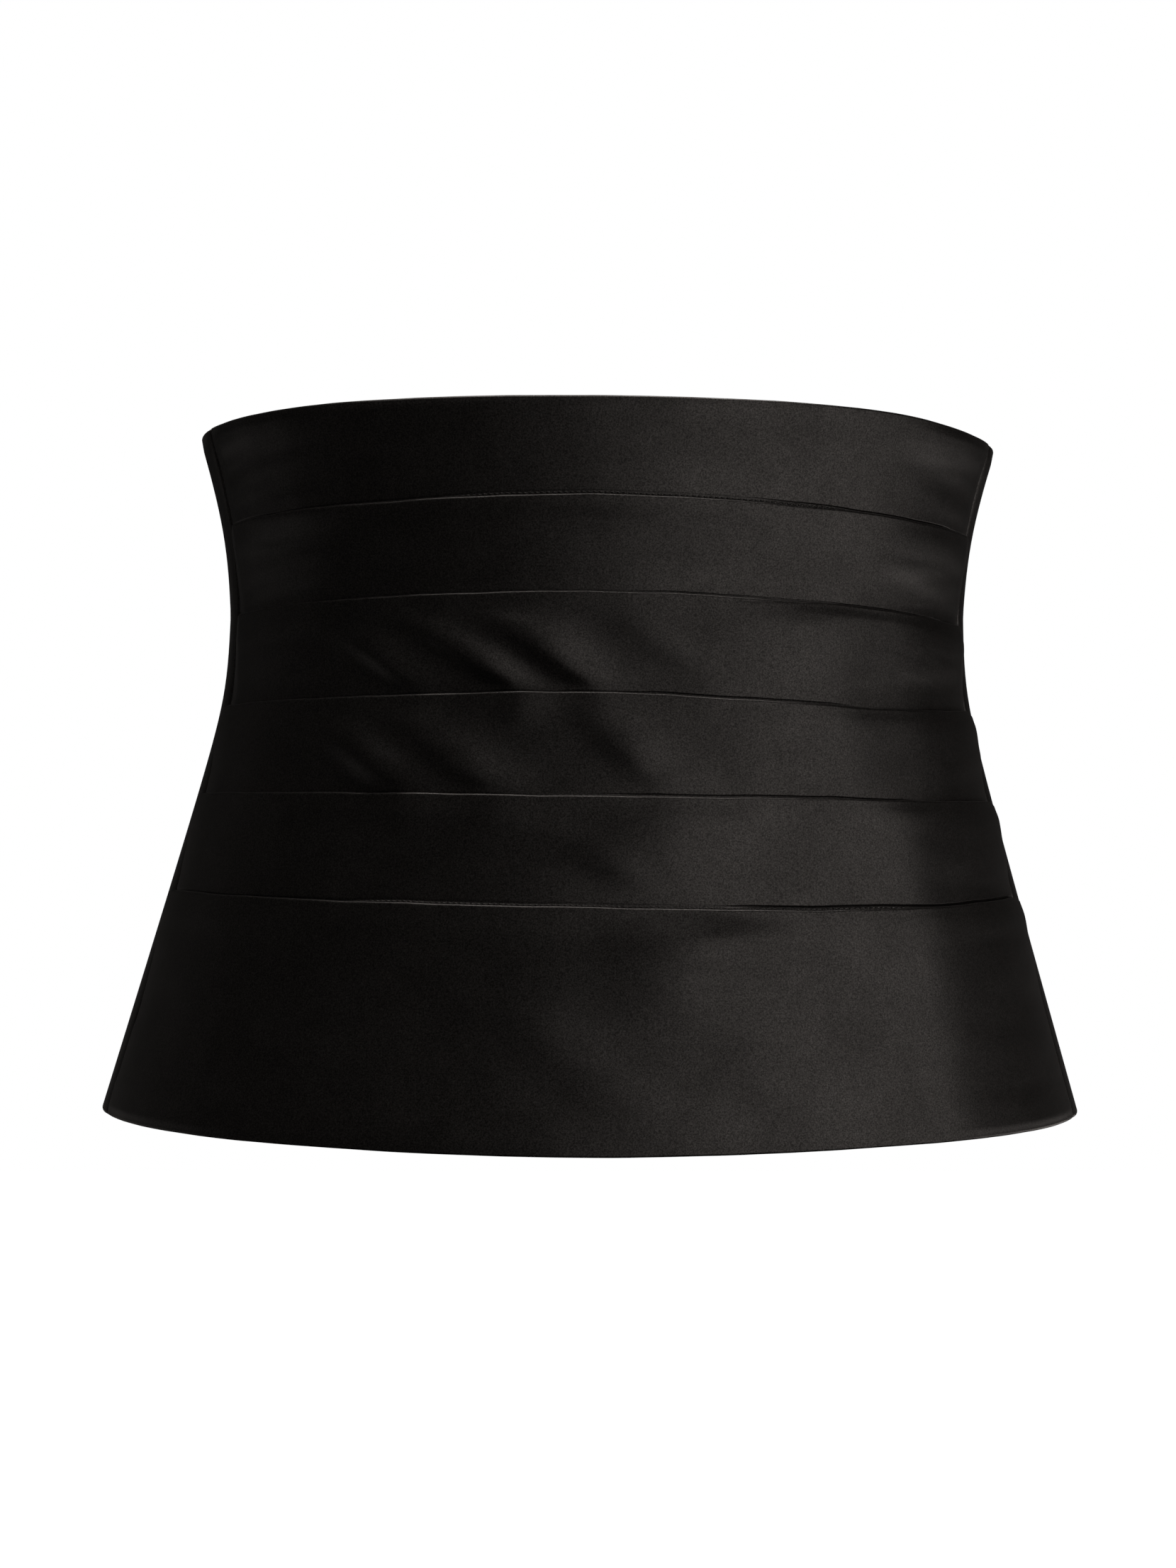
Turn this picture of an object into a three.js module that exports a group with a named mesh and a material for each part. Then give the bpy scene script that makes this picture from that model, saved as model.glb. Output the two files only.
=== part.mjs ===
// A pleated satin cummerbund in its worn form: five upturned pleats over a wide lower band, sewn into
// plain back panels that close edge to edge over a fastening tape.
// Millimetres, +Z up, -Y to the front, +X to the viewer's right. The origin is the middle of the waist.

import * as THREE from "three";

// Heights at centre front, from the waist line
const RISE = 61.6; // up to the top edge
const DROP = 165.5; // down to the hem

// The surface that the walls stand on, as half widths and depths of its level sections.
// straight: share of the flare's height that stays close to the waist. rounding: how softly it turns out.
const WAIST = { halfWidth: 118.4, front: 87, back: 85 };
const TOP = { halfWidth: 130.3, front: 92, back: 92, straight: 0.4, rounding: 0.4 };
const HEM = { halfWidth: 159.2, front: 105, back: 113, straight: 0.15, rounding: 0.1 };
const CORNER_FULLNESS = 0.03; // how far the sections fill out between front and side
const LEAN = 0.0155; // sideways shift for each millimetre of height

// Cloth
const CLOTH = 1.2; // satin with its interlining
const FOLD = 1.7; // a turned edge, where the cloth lies double
const BACK_CLOTH = 1.9; // the back panels, satin on both sides
const FOLD_ROUND = 0.7; // height over which a turned edge rounds off
const TURNING = 9; // depth of a turned edge and of the part that runs behind the next pleat
const SEWN_GAP = 0.32; // between pieces that are sewn together
const STAND = CLOTH + SEWN_GAP; // how far a pleat's folded edge stands off the surface
const EDGE_THINNING = 0.35; // share of the thickness that is left at the very edge of a fold
const LIP_CORNER = 2.2; // radius of a pleat's upper corners, at the side seams

// Side seams, in degrees round from centre front, and centre back
const LEFT_SEAM = { top: 71.8, hem: 76 };
const RIGHT_SEAM = { top: 75.8, hem: 76.4 };
const BACK_SLIT = 1.2; // between the two closing edges
const TAPE_WIDTH = 26;
const TAPE_THICKNESS = 1.4;
const TAPE_INSET = 5; // from the top edge and the hem

const SATIN = { color: 0x1c1a19, roughness: 0.42, metalness: 0 };
const TAPE = { color: 0x101010, roughness: 0.85, metalness: 0 };

// The lines of the belt, as shares of the whole height below the top edge at centre front.
// left and right are near the side seams, midLeft and midRight half way to them.
const STATIONS = { left: -70, midLeft: -38, centre: 0, midRight: 38, right: 70 };
const LINES = [
  { name: "top edge", left: 0.011, midLeft: 0.001, centre: 0, midRight: 0.009, right: 0.029 },
  { name: "lip of pleat 2", left: 0.147, midLeft: 0.136, centre: 0.128, midRight: 0.145, right: 0.161 },
  { name: "lip of pleat 3", left: 0.275, midLeft: 0.263, centre: 0.257, midRight: 0.272, right: 0.29 },
  { name: "lip of pleat 4", left: 0.404, midLeft: 0.397, centre: 0.392, midRight: 0.412, right: 0.413 },
  { name: "lip of pleat 5", left: 0.528, midLeft: 0.526, centre: 0.53, midRight: 0.537, right: 0.54 },
  { name: "lip of lower band", left: 0.665, midLeft: 0.669, centre: 0.676, midRight: 0.683, right: 0.676 },
  { name: "hem", left: 0.982, midLeft: 0.99, centre: 1, midRight: 0.993, right: 0.988 },
];

// Drag folds. pleat: which one. angle: degrees round from centre front. at: share of its showing height.
// slant: degrees down to the right. length, width, rise: shares of the whole height.
const DRAG_FOLDS = [
  { pleat: 3, angle: -31, at: 0.66, slant: 31, length: 0.11, width: 0.021, rise: 0.0035 },
  { pleat: 3, angle: -18, at: 0.6, slant: 33, length: 0.16, width: 0.024, rise: 0.006 },
  { pleat: 3, angle: -7, at: 0.52, slant: 37, length: 0.15, width: 0.024, rise: 0.005 },
  { pleat: 4, angle: -35, at: 0.62, slant: 31, length: 0.15, width: 0.023, rise: 0.0048 },
  { pleat: 4, angle: -20, at: 0.5, slant: 30, length: 0.16, width: 0.026, rise: 0.0048 },
  { pleat: 4, angle: 5, at: 0.56, slant: 48, length: 0.1, width: 0.026, rise: 0.003 },
  { pleat: 1, angle: 62, at: 0.78, slant: 90, length: 0.09, width: 0.025, rise: -0.005 },
  { pleat: 2, angle: 58, at: 0.55, slant: 64, length: 0.11, width: 0.03, rise: -0.006 },
  { pleat: 3, angle: 60, at: 0.55, slant: 85, length: 0.1, width: 0.03, rise: -0.0045 },
  { pleat: 6, angle: 13, at: 0.36, slant: 35, length: 0.28, width: 0.04, rise: 0.004 },
  { pleat: 6, angle: 46, at: 0.62, slant: 81, length: 0.3, width: 0.05, rise: 0.006 },
];

// Rows of a pleat from its folded edge down. share: of the showing height. below: turnings further down.
// stand: share of STAND. fold: share of the way from plain cloth to a folded edge.
const PLEAT_ROWS = [
  { share: 0, below: 1, stand: 1, fold: 0.6 },
  { share: 0.5, below: 0, stand: 0.72, fold: 0.2 },
  { share: 0.66, below: 0, stand: 0.45, fold: 0 },
  { share: 0.82, below: 0, stand: 0.16, fold: 0 },
  { share: 1, below: 0, stand: 0, fold: 0 },
  { share: 1, below: 1, stand: 0, fold: 0 },
];
const TOP_BAND_ROWS = [
  { share: 0, below: 1, stand: 0, fold: 0.6 },
  { share: 0.5, below: 0, stand: 0, fold: 0 },
  { share: 0.75, below: 0, stand: 0, fold: 0 },
  { share: 1, below: 0, stand: 0, fold: 0 },
  { share: 1, below: 1, stand: 0, fold: 0 },
];
const LOWER_BAND_ROWS = [
  { share: 0, below: 1, stand: 1, fold: 0.6 },
  { share: 0.25, below: 0, stand: 0.62, fold: 0 },
  { share: 0.4, below: 0, stand: 0.3, fold: 0 },
  { share: 0.56, below: 0, stand: 0.1, fold: 0 },
  { share: 0.72, below: 0, stand: 0.05, fold: 0 },
  { share: 1, below: -1, stand: 0.05, fold: 0.4 },
];

const HEIGHT = RISE + DROP;
const HEM_LINE = LINES.length - 1;
const FOLD_WINDOW = 0.16; // share of the showing height over which drag folds die out above the next lip
const FOLD_RADIUS = WAIST.front; // turns an angle from a fold's middle into a distance
const END_PACKING = 0.55; // how much closer the columns stand at the side seams than at centre front
const FRONT_COLUMNS = 48;
const BACK_COLUMNS = 20;
const PROBE = 0.05; // step of the numeric tangents, in millimetres and in degrees

const { lerp, degToRad, smoothstep } = THREE.MathUtils;

// 0 at the waist and 1 at the full height: close to nothing, then a rounded turn into a straight slope.
function flare(share, { straight, rounding }) {
  const ramp = (value) => value - straight + Math.hypot(value - straight, rounding);
  return (ramp(share) - ramp(0)) / (ramp(1) - ramp(0));
}

// The point of the bare surface at an angle round from centre front, in degrees, and a height.
function surfacePoint(angle, z) {
  const [end, reach] = z > 0 ? [TOP, RISE] : [HEM, DROP];
  const share = flare(Math.abs(z) / reach, end);
  const turn = degToRad(angle);
  const fullness = 1 + CORNER_FULLNESS * Math.sin(2 * turn) ** 2;
  const side = Math.cos(turn) > 0 ? "front" : "back";
  const x = lerp(WAIST.halfWidth, end.halfWidth, share) * Math.sin(turn) * fullness;
  const y = -lerp(WAIST[side], end[side], share) * Math.cos(turn) * fullness;
  return new THREE.Vector3(x + LEAN * z, y, z);
}

// A point at a distance outwards from the surface.
function wallPoint(angle, z, out) {
  const round = surfacePoint(angle + PROBE, z).sub(surfacePoint(angle - PROBE, z));
  const up = surfacePoint(angle, z + PROBE).sub(surfacePoint(angle, z - PROBE));
  return surfacePoint(angle, z).addScaledVector(round.cross(up).normalize(), out);
}

// Degrees that a distance along the surface takes at an angle and height.
function degreesFor(distance, angle, z) {
  const step = surfacePoint(angle + PROBE, z).distanceTo(surfacePoint(angle - PROBE, z));
  return (distance * 2 * PROBE) / step;
}

// Each line as a smooth curve round the belt. At centre back both sides meet at their mean height.
const curves = LINES.map((line) => {
  const back = (line.left + line.right) / 2;
  const stations = Object.keys(STATIONS);
  const angles = [-180, ...stations.map((station) => STATIONS[station]), 180];
  const drops = [back, ...stations.map((station) => line[station]), back];
  return new THREE.CubicInterpolant(angles, drops, 1);
});

// Height of one of the belt's lines at an angle. 0 is the top edge, LINES.length - 1 the hem.
function lineHeight(index, angle) {
  return RISE - curves[index].evaluate(angle)[0] * HEIGHT;
}

// Where the side seam on a side (-1 left, 1 right) runs, at a height.
function seamAngle(side, z) {
  const seam = side < 0 ? LEFT_SEAM : RIGHT_SEAM;
  return side * lerp(seam.top, seam.hem, (RISE - z) / HEIGHT);
}

// How far the drag folds of a pleat lift or sink its cloth.
function dragAt(pleat, angle, share, showing) {
  let lift = 0;
  for (const fold of DRAG_FOLDS.filter((row) => row.pleat === pleat)) {
    const across = degToRad(angle - fold.angle) * FOLD_RADIUS;
    const down = (share - fold.at) * showing;
    const slant = degToRad(fold.slant);
    const along = across * Math.cos(slant) + down * Math.sin(slant);
    const beside = down * Math.cos(slant) - across * Math.sin(slant);
    const fade = (along / (fold.length * HEIGHT)) ** 2 * 4 + (beside / (fold.width * HEIGHT)) ** 2 * 2;
    lift += fold.rise * HEIGHT * Math.exp(-fade);
  }
  const aboveNext = smoothstep(1 - share, 0, FOLD_WINDOW);
  const belowLip = lift < 0 ? smoothstep(share * showing, TURNING, 1.5 * TURNING) : 1;
  return lift * aboveNext * belowLip;
}

// A wall bent from a box: columns run round, rows run down, and the box's depth is the cloth.
// place(column share, row, outer) gives each corner, with outer 0 on the inside and 1 on the outside.
function bentWall(columns, rowCount, place) {
  const geometry = new THREE.BoxGeometry(1, 1, 1, columns, rowCount - 1, 1);
  geometry.deleteAttribute("normal");
  geometry.deleteAttribute("uv");
  const corners = geometry.getAttribute("position");
  for (let i = 0; i < corners.count; i += 1) {
    const row = Math.round((0.5 - corners.getY(i)) * (rowCount - 1));
    const point = place(corners.getX(i) + 0.5, row, corners.getZ(i) > 0 ? 1 : 0);
    corners.setXYZ(i, point.x, point.y, point.z);
  }
  return geometry;
}

// Two short rows that round a turned edge off, then the given rows, and the same again at a turned hem.
function withRoundedEdges(rows, lowerEdgeTurned) {
  const first = rows[0];
  const edge = { share: 0, below: 0, stand: first.stand, fold: 1 };
  const rounded = [{ ...edge, thinned: true }, { ...edge, round: FOLD_ROUND }, ...rows];
  if (!lowerEdgeTurned) return rounded;
  const hem = { share: 1, below: 0, stand: rows.at(-1).stand, fold: 1 };
  return [...rounded, { ...hem, round: -FOLD_ROUND }, { ...hem, thinned: true }];
}

// How far a pleat's lip is cut down at a distance from its end, for a rounded corner.
function cornerDrop(fromEnd) {
  const inside = Math.max(LIP_CORNER - fromEnd, 0);
  return LIP_CORNER - Math.sqrt(LIP_CORNER ** 2 - inside ** 2);
}

// Columns stand closer together towards both ends.
function packed(across) {
  const place = 2 * across - 1;
  return (1 + lerp(place, (place * (3 - place ** 2)) / 2, END_PACKING)) / 2;
}

// One pleat of the front, from side seam to side seam. The first pleat is the top band.
function pleat(number, columns, rows) {
  const [upper, lower] = [number - 1, number];
  const place = (across, index, outer) => {
    const row = rows[index];
    const depth = row.below * TURNING + (row.round ?? 0);
    const heightAt = (angle) => lerp(lineHeight(upper, angle), lineHeight(lower, angle), row.share) - depth;
    const leftEnd = seamAngle(-1, heightAt(STATIONS.left));
    const rightEnd = seamAngle(1, heightAt(STATIONS.right));
    const angle = lerp(leftEnd, rightEnd, packed(across));
    const level = heightAt(angle);
    const fromEnd = Math.min(angle - leftEnd, rightEnd - angle) / degreesFor(1, angle, level);
    const cut = number > 1 && row.share + row.below === 0 ? cornerDrop(fromEnd) : 0;
    const showing = lineHeight(upper, angle) - lineHeight(lower, angle);
    const share = (lineHeight(upper, angle) - level) / showing;
    const thickness = lerp(CLOTH, FOLD, row.fold) * (row.thinned ? EDGE_THINNING : 1);
    const middle = row.stand * STAND + lerp(CLOTH, FOLD, row.fold) / 2;
    const out = middle + (outer - 0.5) * thickness + dragAt(number, angle, share, showing);
    return wallPoint(angle, level - cut, out);
  };
  return bentWall(columns, rows.length, place);
}

// The heights of a plain panel's rows, as shares of the way from top edge to hem.
const PANEL_SHARES = [0, 0.1, 0.26, 0.36, 0.52, 0.75, 1];

// A back panel, from the side seam on one side (-1 left, 1 right) to the closing edge at centre back.
function backPanel(side, columns) {
  const rows = [{ share: 0, round: 0, thinned: true }];
  PANEL_SHARES.forEach((share) => {
    const round = (share === 0 ? FOLD_ROUND : 0) - (share === 1 ? FOLD_ROUND : 0);
    rows.push({ share, round, thinned: false });
  });
  rows.push({ share: 1, round: 0, thinned: true });
  const place = (across, index, outer) => {
    const row = rows[index];
    const panelHeight = (angle) => lerp(lineHeight(0, angle), lineHeight(HEM_LINE, angle), row.share);
    const heightAt = (angle) => panelHeight(angle) - row.round;
    const seamZ = heightAt(side < 0 ? STATIONS.left : STATIONS.right);
    const end = seamAngle(side, seamZ);
    const seam = end + side * degreesFor(SEWN_GAP, end, seamZ);
    const slit = side * (180 - degreesFor(BACK_SLIT / 2, 180, seamZ));
    const angle = side > 0 ? lerp(seam, slit, across) : lerp(slit, seam, across);
    const thickness = BACK_CLOTH * (row.thinned ? EDGE_THINNING : 1);
    const out = BACK_CLOTH / 2 + (outer - 0.5) * thickness;
    return wallPoint(angle, heightAt(angle), out);
  };
  return bentWall(columns, rows.length, place);
}

// The tape inside the centre back that holds the two closing edges together.
function fasteningTape(columns) {
  const place = (across, index, outer) => {
    const share = PANEL_SHARES[index];
    const top = lineHeight(0, 180) - TAPE_INSET;
    const z = lerp(top, lineHeight(HEM_LINE, 180) + TAPE_INSET, share);
    const angle = 180 + degreesFor(TAPE_WIDTH, 180, z) * (across - 0.5);
    return wallPoint(angle, z, -SEWN_GAP - (1 - outer) * TAPE_THICKNESS);
  };
  return bentWall(columns, PANEL_SHARES.length, place);
}

function named(name, geometry, finish) {
  const mesh = new THREE.Mesh(geometry, new THREE.MeshStandardMaterial(finish));
  mesh.name = name;
  return mesh;
}

const front = new THREE.Group();
const pleatRows = withRoundedEdges(PLEAT_ROWS, false);
front.add(
  named("top_band", pleat(1, FRONT_COLUMNS, withRoundedEdges(TOP_BAND_ROWS, false)), SATIN),
  named("pleat_2", pleat(2, FRONT_COLUMNS, pleatRows), SATIN),
  named("pleat_3", pleat(3, FRONT_COLUMNS, pleatRows), SATIN),
  named("pleat_4", pleat(4, FRONT_COLUMNS, pleatRows), SATIN),
  named("pleat_5", pleat(5, FRONT_COLUMNS, pleatRows), SATIN),
  named("lower_band", pleat(6, FRONT_COLUMNS, withRoundedEdges(LOWER_BAND_ROWS, true)), SATIN),
);

const back = new THREE.Group();
back.add(
  named("back_panel_left", backPanel(-1, BACK_COLUMNS), SATIN),
  named("back_panel_right", backPanel(1, BACK_COLUMNS), SATIN),
  named("fastening_tape", fasteningTape(6), TAPE),
);

const cummerbund = new THREE.Group();
cummerbund.add(front, back);

export default cummerbund;
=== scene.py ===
"""A pleated satin cummerbund in its worn form, dressed and lit as for a catalogue photograph.

The cloth follows the same named sizes and tables as the solid model: a waist, two flares, seven lines that
run round the belt, and a table of drag folds. All lengths in the cloth's classes are millimetres. The meshes,
the finishes and the studio are in metres.
"""

import logging
import math
from collections.abc import Callable, Sequence
from dataclasses import dataclass
from enum import Enum

import bpy
import numpy as np
from mathutils import Matrix


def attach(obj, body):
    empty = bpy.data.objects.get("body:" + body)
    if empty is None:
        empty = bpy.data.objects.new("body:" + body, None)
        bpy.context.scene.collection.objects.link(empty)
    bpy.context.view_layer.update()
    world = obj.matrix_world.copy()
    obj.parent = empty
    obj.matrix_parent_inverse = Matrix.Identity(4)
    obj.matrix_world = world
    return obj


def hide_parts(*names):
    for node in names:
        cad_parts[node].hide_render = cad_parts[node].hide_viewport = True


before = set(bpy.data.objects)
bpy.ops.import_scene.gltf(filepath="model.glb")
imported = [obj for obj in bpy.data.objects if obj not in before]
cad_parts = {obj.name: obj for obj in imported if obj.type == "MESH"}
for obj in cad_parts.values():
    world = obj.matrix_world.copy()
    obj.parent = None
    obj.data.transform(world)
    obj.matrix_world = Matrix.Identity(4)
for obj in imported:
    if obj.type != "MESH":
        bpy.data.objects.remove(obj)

LOG = logging.getLogger("cummerbund")
MM = 0.001


def smoothstep(value: np.ndarray | float, low: float, high: float) -> np.ndarray:
    """Ease from 0 to 1.

    Args:
        value: Where to evaluate.
        low: The value up to which the result is 0.
        high: The value from which the result is 1.

    Returns:
        The eased share, in the shape of value.
    """
    share = np.clip((np.asarray(value, float) - low) / (high - low), 0.0, 1.0)
    return share * share * (3.0 - 2.0 * share)


def mix(first: np.ndarray | float, second: np.ndarray | float, share: np.ndarray | float) -> np.ndarray:
    """Go from first to second by a share."""
    return np.asarray(first + (np.asarray(second) - first) * np.asarray(share, float))


def packed_places(count: int, packing: float) -> np.ndarray:
    """Spread places from 0 to 1, closer together towards both ends.

    Args:
        count: Number of places.
        packing: 0 for an even spread, 1 for the closest.

    Returns:
        The places, in order.
    """
    even = np.linspace(-1.0, 1.0, count)
    return (mix(even, even * (3 - even**2) / 2, packing) + 1) / 2


class Side(Enum):
    """The two sides of the belt, as the viewer sees them."""

    LEFT = -1
    RIGHT = 1


@dataclass(frozen=True)
class Flare:
    """How the belt widens from the waist towards one of its edges.

    Attributes:
        half_width: Half the width of the section at the edge.
        front: Its depth forwards from the axis.
        back: Its depth backwards from the axis.
        straight: Share of the height that stays close to the waist.
        rounding: How softly it then turns out.
    """

    half_width: float
    front: float
    back: float
    straight: float
    rounding: float

    def opening(self, share: np.ndarray) -> np.ndarray:
        """Find how far the belt has widened, straight once past the rounding.

        Args:
            share: Shares of the way from the waist to the edge.

        Returns:
            0 at the waist and 1 at the edge.
        """

        def ramp(value: np.ndarray | float) -> np.ndarray:
            """Rise softly from the end of the straight part."""
            shifted = np.asarray(value, float) - self.straight
            return shifted + np.hypot(shifted, self.rounding)

        return (ramp(share) - ramp(0.0)) / (ramp(1.0) - ramp(0.0))


@dataclass(frozen=True)
class Line:
    """One line round the belt, as shares of the whole height below the top edge at centre front.

    Attributes:
        left: Near the left side seam.
        mid_left: Half way to it.
        centre: At centre front.
        mid_right: Half way to the right side seam.
        right: Near the right side seam.
    """

    left: float
    mid_left: float
    centre: float
    mid_right: float
    right: float

    def drops(self) -> list[float]:
        """List the line's drops from centre back round the front to centre back again."""
        back = (self.left + self.right) / 2
        return [back, self.left, self.mid_left, self.centre, self.mid_right, self.right, back]


@dataclass(frozen=True)
class Swell:
    """A broad, low rise of the worn form that the whole belt follows.

    Attributes:
        angle: Place round from centre front, in degrees.
        z: Height over the waist.
        spread: Half its width round the belt, in degrees.
        tall: Half its height.
        rise: How far it stands out.
        steep: How much narrower its right side is than its left side.
    """

    angle: float
    z: float
    spread: float
    tall: float
    rise: float
    steep: float = 1.0

    def at(self, angle: np.ndarray, z: np.ndarray) -> np.ndarray:
        """Find how far it stands out.

        Args:
            angle: Degrees round from centre front.
            z: Heights over the waist.

        Returns:
            Distances outwards.
        """
        beside, above = angle - self.angle, (z - self.z) / self.tall
        side = np.where(beside > 0, self.spread / self.steep, self.spread * self.steep)
        return self.rise * np.exp(-2 * (beside / side) ** 2 - 2 * above**2)


@dataclass(frozen=True)
class Ridge:
    """A long soft corner that runs down the worn form, where the front turns to the side.

    Attributes:
        angle: Place of its crest round from centre front at the waist, in degrees.
        lean: Degrees that the crest moves round for each millimetre up.
        spread: Half its width round the belt, in degrees.
        steep: How much narrower its right side is than its left side.
        rise: How far it stands out.
        upper: Height over the waist where it begins.
        lower: Height over the waist where it ends.
        fade: Height over which it begins or ends.
    """

    angle: float
    lean: float
    spread: float
    steep: float
    rise: float
    upper: float
    lower: float
    fade: float

    def at(self, angle: np.ndarray, z: np.ndarray) -> np.ndarray:
        """Find how far it stands out.

        Args:
            angle: Degrees round from centre front.
            z: Heights over the waist.

        Returns:
            Distances outwards.
        """
        beside = angle - self.angle - self.lean * z
        side = np.where(beside > 0, self.spread / self.steep, self.spread * self.steep)
        tall = smoothstep(z, self.lower - self.fade, self.lower + self.fade)
        tall = tall * (1 - smoothstep(z, self.upper - self.fade, self.upper + self.fade))
        return self.rise * tall * np.exp(-2 * (beside / side) ** 2)


@dataclass(frozen=True)
class DragFold:
    """A soft fold in one pleat, where the cloth is dragged sideways.

    Attributes:
        pleat: Number of the pleat, 1 for the top band.
        angle: Place round from centre front, in degrees.
        at: Place down the pleat, as a share of its showing height.
        slant: Direction, in degrees down to the right.
        length: Share of the belt's whole height.
        width: Share of the belt's whole height.
        rise: How far it lifts the cloth, as a share of the whole height.
        bend: How far its ends drop below a straight line, as a share of its length.
        steep: How much narrower its lower side is than its upper side.
    """

    pleat: int
    angle: float
    at: float
    slant: float
    length: float
    width: float
    rise: float
    bend: float = 0.0
    steep: float = 1.0

    def lift(self, across: np.ndarray, down: np.ndarray, size: float) -> np.ndarray:
        """Find how far the fold moves the cloth.

        Args:
            across: Distances to the right of the fold's middle.
            down: Distances below it.
            size: Whole height of the belt.

        Returns:
            Distances outwards.
        """
        slant, reach, spread = math.radians(self.slant), self.length * size, self.width * size
        along = across * math.cos(slant) + down * math.sin(slant)
        beside = down * math.cos(slant) - across * math.sin(slant) - self.bend * reach * (along / reach) ** 2
        side = np.where(beside > 0, spread / self.steep, spread * self.steep)
        return self.rise * size * np.exp(-4 * (along / reach) ** 2 - 2 * (beside / side) ** 2)


@dataclass(frozen=True)
class Stretch:
    """A stretch of the front that begins and ends softly.

    Attributes:
        begins: Angles between which it begins.
        ends: Angles between which it ends.
    """

    begins: tuple[float, float]
    ends: tuple[float, float]

    def at(self, angle: np.ndarray) -> np.ndarray:
        """Find the share of it, 0 outside and 1 inside, at angles round the front."""
        return smoothstep(angle, *self.begins) * (1 - smoothstep(angle, *self.ends))


@dataclass(frozen=True)
class FoldEdge:
    """What shows along a folded edge, where it lies over the pleat above it.

    Attributes:
        gap: Angles between which a gap shows above the fold.
        sink: How deep the gap is.
        spread: How wide it is.
        stitched: Angles between which the stitched edge of the facing peeps out above the fold, if it does.
        peep: How thick that edge is.
        pitch: Distance from one stitch to the next.
        peep_end: Degrees over which the stitched edge comes out or goes in.
        gap_begins: Degrees to either side over which the gap opens.
        gap_ends: Degrees over which it closes.
        least: Share of the gap's depth outside its angles.
        beside: Middle of the gap above the stitched edge, as a share of its width.
    """

    gap: tuple[float, float]
    sink: float
    spread: float
    stitched: tuple[float, float] | None = None
    peep: float = 0.0
    pitch: float = 1.75
    peep_end: float = 9.0
    gap_begins: float = 6.0
    gap_ends: float = 8.0
    least: float = 0.25
    beside: float = 0.6

    def showing(self, angle: np.ndarray) -> np.ndarray:
        """Find how much of the stitched edge shows.

        Args:
            angle: Degrees round from centre front.

        Returns:
            Shares of its thickness.
        """
        if self.stitched is None:
            return np.zeros_like(angle)
        first, last = self.stitched
        return Stretch((first, first + self.peep_end), (last - self.peep_end, last)).at(angle)

    def groove(self, angle: np.ndarray, above: np.ndarray) -> np.ndarray:
        """Find how far the cloth above the fold sinks into the gap.

        Args:
            angle: Degrees round from centre front.
            above: Distances above the fold's line.

        Returns:
            Distances inwards.
        """
        first, last = self.gap
        stretch = Stretch((first - self.gap_begins, first + self.gap_begins), (last - self.gap_ends, last))
        centre = self.peep * self.showing(angle) + self.beside * self.spread
        deep = self.sink * (self.least + (1 - self.least) * stretch.at(angle))
        return deep * np.exp(-(((above - centre) / self.spread) ** 2))


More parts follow.
